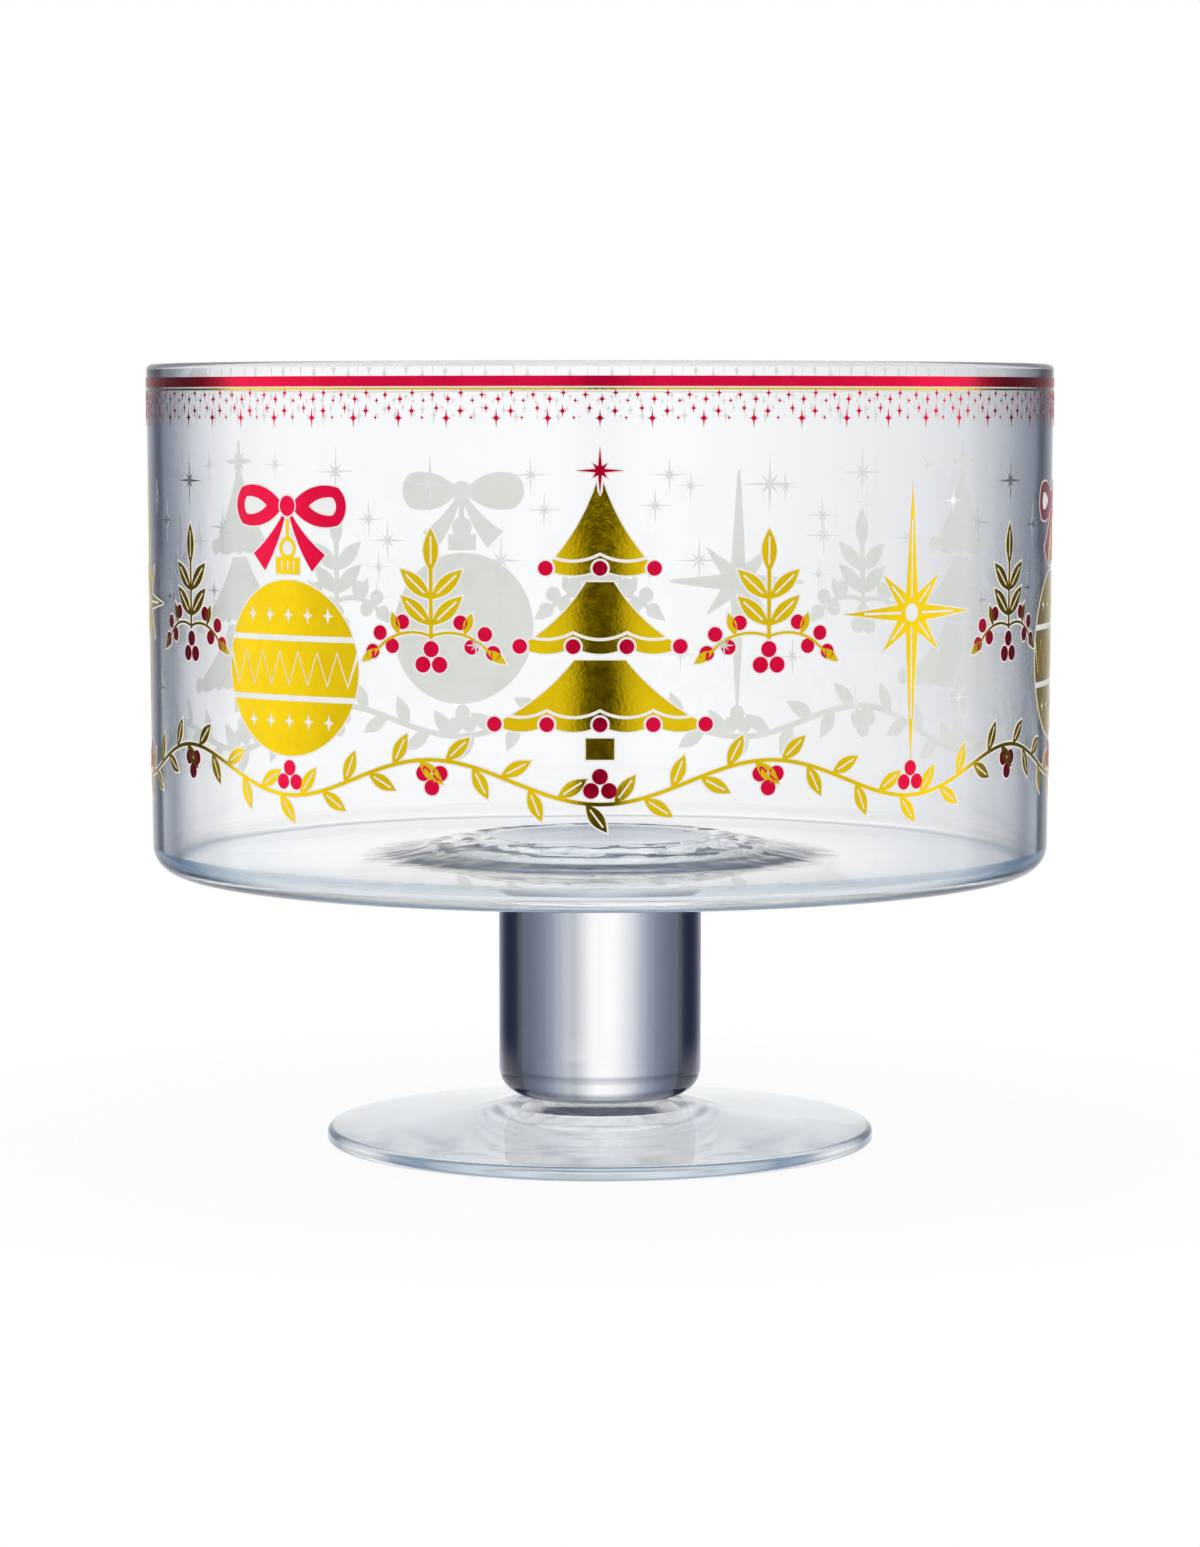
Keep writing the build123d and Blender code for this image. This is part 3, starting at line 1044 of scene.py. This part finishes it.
frieze_stars = (
    # (share of a unit, rise over the frieze's height, half width, half height)
    (0.0, 0.1, 1.2, 2.1),
    (-0.2, 2.2, 0.8, 1.2),
    (0.285, 1.6, 1.0, 1.5),
    (0.5, 0.2, 0.55, 0.6),
    (0.30, 5.4, 0.8, 1.1),
    (0.04, 4.1, 0.9, 1.3),
    (-0.28, 5.0, 0.8, 1.1),
    (0.53, 3.8, 0.6, 0.7),
)
frieze_unit = 360 / frieze_units
frieze_prints = []
for share, rise, half_width, half_height in frieze_stars:
    places = [(frieze_unit * (unit + share), frieze_drop - rise) for unit in range(frieze_units)]
    frieze_prints.append((frieze_star(half_width, half_height), [], places))


# Motifs on the wall


def repeated(angle, drop):
    """Places at a drop, at an angle and again after every third of the way round."""
    return [(angle + 360 / motif_repeats * turn, drop) for turn in range(motif_repeats)]


def between_motifs(drop):
    """Places at a drop, halfway between each two large motifs."""
    return [(motif_step * (turn + 0.5), drop) for turn in range(motif_count)]


tree_places = repeated(0.0, tree_drop)
bow_places = repeated(-motif_step, bow_drop)
sprig_places = between_motifs(sprig_drop)
vine_places = between_motifs(vine_drop)
sparkle_spots = (
    # (angle, drop, size)
    (8, 24, 4.2), (-8, 24, 4.2), (11.5, 42, 5.4), (-11.5, 42, 5.4),
    (20, 26, 6.4), (-20, 26, 6.4), (27, 37, 4.6), (-25.5, 38, 4.6),
    (14.5, 60, 3.6), (-14.5, 60, 3.6), (60, 26, 6.4), (52, 35, 5),
    (33, 30, 4), (47, 30, 4), (48.5, 73, 4.4), (31.5, 73, 4.4),
    (68, 36, 5), (66, 50, 3.4), (93, 50, 3.4), (53, 52, 3.4), (27.5, 52, 3.4),
)

tree_gold, tree_cuts, tree_red = fir_tree()
bow_red, bow_cuts, bow_knot = bow()
sprig_gold, sprig_cuts, sprig_red = sprig()
vine_gold, vine_cuts, vine_red = vine()
sparkle_prints = [(sparkle(size), [], repeated(angle, drop)) for angle, drop, size in sparkle_spots]

foils = {"gold_foil": gold_foil, "red_foil": red_foil, "silver_foil": silver_foil}
prints = {
    "star_frieze": ("red_foil", frieze_prints),
    "fir_trees": ("gold_foil", [(tree_gold, tree_cuts, tree_places)]),
    "baubles": ("gold_foil", [(*bauble(), repeated(-motif_step, bauble_drop))]),
    "festive_stars": ("gold_foil", [(*festive_star(), repeated(motif_step, star_drop))]),
    "sprig_leaves": ("gold_foil", [(sprig_gold, sprig_cuts, sprig_places),
                                   (vine_gold, vine_cuts, vine_places)]),
    "bauble_bows": ("red_foil", [(bow_red, bow_cuts, bow_places), (bow_knot, [], bow_places)]),
    "berries": ("red_foil", [(sprig_red, [], sprig_places), (vine_red, [], vine_places),
                             (tree_red, [], tree_places)]),
    "sparkles": ("silver_foil", sparkle_prints),
}
pieces = {"rim_band": (rim_band, "red_foil"), "rim_line": (rim_line, "gold_foil")}
for node, (slot, node_prints) in prints.items():
    skin = [foils[slot], print_base]
    pieces[node] = (film(f"{node}_foil", node_prints, skin, foil_lift, foil_top), slot)
for node, (piece, slot) in pieces.items():
    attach(piece, "root")
    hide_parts(node)

# Undercoat of the larger motifs, without their cuts and a little wider than the foil on it
base_prints = []
for node in ("fir_trees", "baubles", "festive_stars", "sprig_leaves", "bauble_bows", "berries"):
    for outlines, _, places in prints[node][1]:
        base_prints.append(([grown(points, base_margin) for points in outlines], [], places))
undercoat = film("print_undercoat", base_prints, [print_margin, print_base], base_lift, foil_lift)
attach(undercoat, "root")


# Studio, in metres


def seen_rays(look):
    """1 for camera, mirrored and refracted rays, and 0 for the rays that light matt surfaces."""
    path = look.add("ShaderNodeLightPath").outputs
    first_two = look.math("MAXIMUM", path["Is Camera Ray"], path["Is Glossy Ray"])
    return look.math("MAXIMUM", first_two, path["Is Transmission Ray"])


def make_floor():
    """Round white floor that fades into the backdrop towards its edge and keeps a faint shadow."""
    radius, fade_start, fade_end, depth = 0.2, 0.09, 0.19, 0.00005
    glow_share, grey = 0.82, (0.9, 0.9, 0.9, 1)
    bpy.ops.mesh.primitive_circle_add(vertices=96, radius=radius, fill_type="NGON", location=(0, 0, -depth))
    floor = bpy.context.object
    floor.name = "floor"
    material, look, shader = new_material("floor")
    look.nodes.remove(shader)
    matte = look.add("ShaderNodeBsdfDiffuse", {"Color": grey}).outputs["BSDF"]
    glow = look.add("ShaderNodeEmission", {"Strength": 1.0}).outputs["Emission"]
    lit = look.mix_shaders(look.math("MULTIPLY", seen_rays(look), glow_share), matte, glow)
    fade = look.mapped(look.distance(outward), 0.0, 1.0, fade_start, fade_end)
    clear = look.add("ShaderNodeBsdfTransparent").outputs["BSDF"]
    look.show(look.mix_shaders(fade, lit, clear))
    floor.data.materials.append(material)


def mirrored_cards(look, way):
    """Dark cards and bright strips, alike on both sides, with a dark gap low down in front."""
    # (degrees round from the back, brightness)
    cards = ((0, 1.0), (8, 0.9), (14, 0.62), (20, 0.4), (28, 0.2), (42, 0.1), (62, 0.08), (70, 0.3),
             (76, 1.25), (96, 1.25), (108, 1.0), (125, 0.86), (150, 0.9), (170, 0.95))
    front_gap = ((174.0, 0.6), (176.2, 0.06), (180, 0.05))
    green_share, blue_power, gap_top, gap_full = 1.01, 0.94, 0.0, -0.012
    bearing = look.math("ARCTAN2", look.math("ABSOLUTE", way["X"]), way["Y"])
    share = look.mapped(bearing, 0.0, 1.0, 0.0, pi)
    rings = []
    for levels in (cards, cards + front_gap):
        rings.append(look.ramp(share, [(degree / 180, (level, level * green_share, level**blue_power))
                                       for degree, level in levels]))
    return look.mix(look.mapped(way["Z"], 1.0, 0.0, gap_full, gap_top), *rings)


def refracted_backdrop(look, way):
    """White all round, with one soft grey card at the back on the right."""
    # (degrees to the right of the back, brightness)
    levels = ((-180, 1.0), (1.5, 1.0), (3, 0.93), (4.6, 0.86), (6, 0.78), (9, 0.66), (10.5, 0.63),
              (13, 0.8), (17, 0.92), (25, 1.0), (180, 1.0))
    bearing = look.math("ARCTAN2", way["X"], way["Y"])
    share = look.mapped(bearing, 0.0, 1.0, -pi, pi)
    stops = shade_stops([((degree + 180) / 360, level) for degree, level in levels], backdrop_blue)
    return look.ramp(share, stops)


def ceiling(look, way, dark):
    """Shade of the room by height, with a bluish dark ring part of the way up."""
    levels = ((0.0, 1.0), (0.58, 1.0), (0.65, dark), (0.76, dark), (0.86, 1.0), (1.0, 1.0))
    return look.ramp(look.mapped(way["Z"], 0.0, 1.0, -1.0, 1.0), shade_stops(levels, ceiling_blue))


def make_world():
    """White for the camera and for matt surfaces, and a room with cards for mirrored and refracted rays."""
    below_end, below_start = -0.8, -0.6
    mirrored_dark, refracted_dark = 0.42, 0.45
    world = bpy.data.worlds.new("studio")
    bpy.context.scene.world = world
    look = Look(world)
    direction = look.add("ShaderNodeTexCoord").outputs["Generated"]
    way = look.add("ShaderNodeSeparateXYZ", {"Vector": direction}).outputs
    path = look.add("ShaderNodeLightPath").outputs
    mirrored = path["Is Reflection Ray"]
    sides = look.mix(mirrored, refracted_backdrop(look, way), mirrored_cards(look, way))
    room = look.mix(look.mapped(way["Z"], 0.0, 1.0, below_end, below_start), white, sides)
    shade = look.mix(mirrored, ceiling(look, way, refracted_dark), ceiling(look, way, mirrored_dark))
    shaded = look.mix(1.0, room, shade, blend="MULTIPLY")
    on_matt = look.math("GREATER_THAN", path["Diffuse Depth"], 0.5)
    lit = look.mix(on_matt, shaded, white)
    shown = look.mix(path["Is Camera Ray"], lit, white)
    look.feed(look.nodes["Background"], {"Color": shown, "Strength": 1.0})


def make_camera():
    """Camera a little over a metre in front, just under the rim's height and tilted down."""
    distance, height, tilt = 1.0664, 0.1715, 4.6
    camera = bpy.data.cameras.new("camera")
    camera.sensor_width = 36.0
    camera.lens = 106.4
    holder = bpy.data.objects.new("camera", camera)
    holder.location = (0, -distance, height)
    holder.rotation_euler = (radians(90 - tilt), 0, 0)
    bpy.context.scene.collection.objects.link(holder)
    bpy.context.scene.camera = holder


make_floor()
make_world()
make_camera()
scene = bpy.context.scene
scene.view_settings.view_transform = "Standard"
scene.cycles.blur_glossy = 0.0
scene.cycles.max_bounces = 64
scene.cycles.transmission_bounces = 64
scene.cycles.glossy_bounces = 48
scene.cycles.transparent_max_bounces = 48
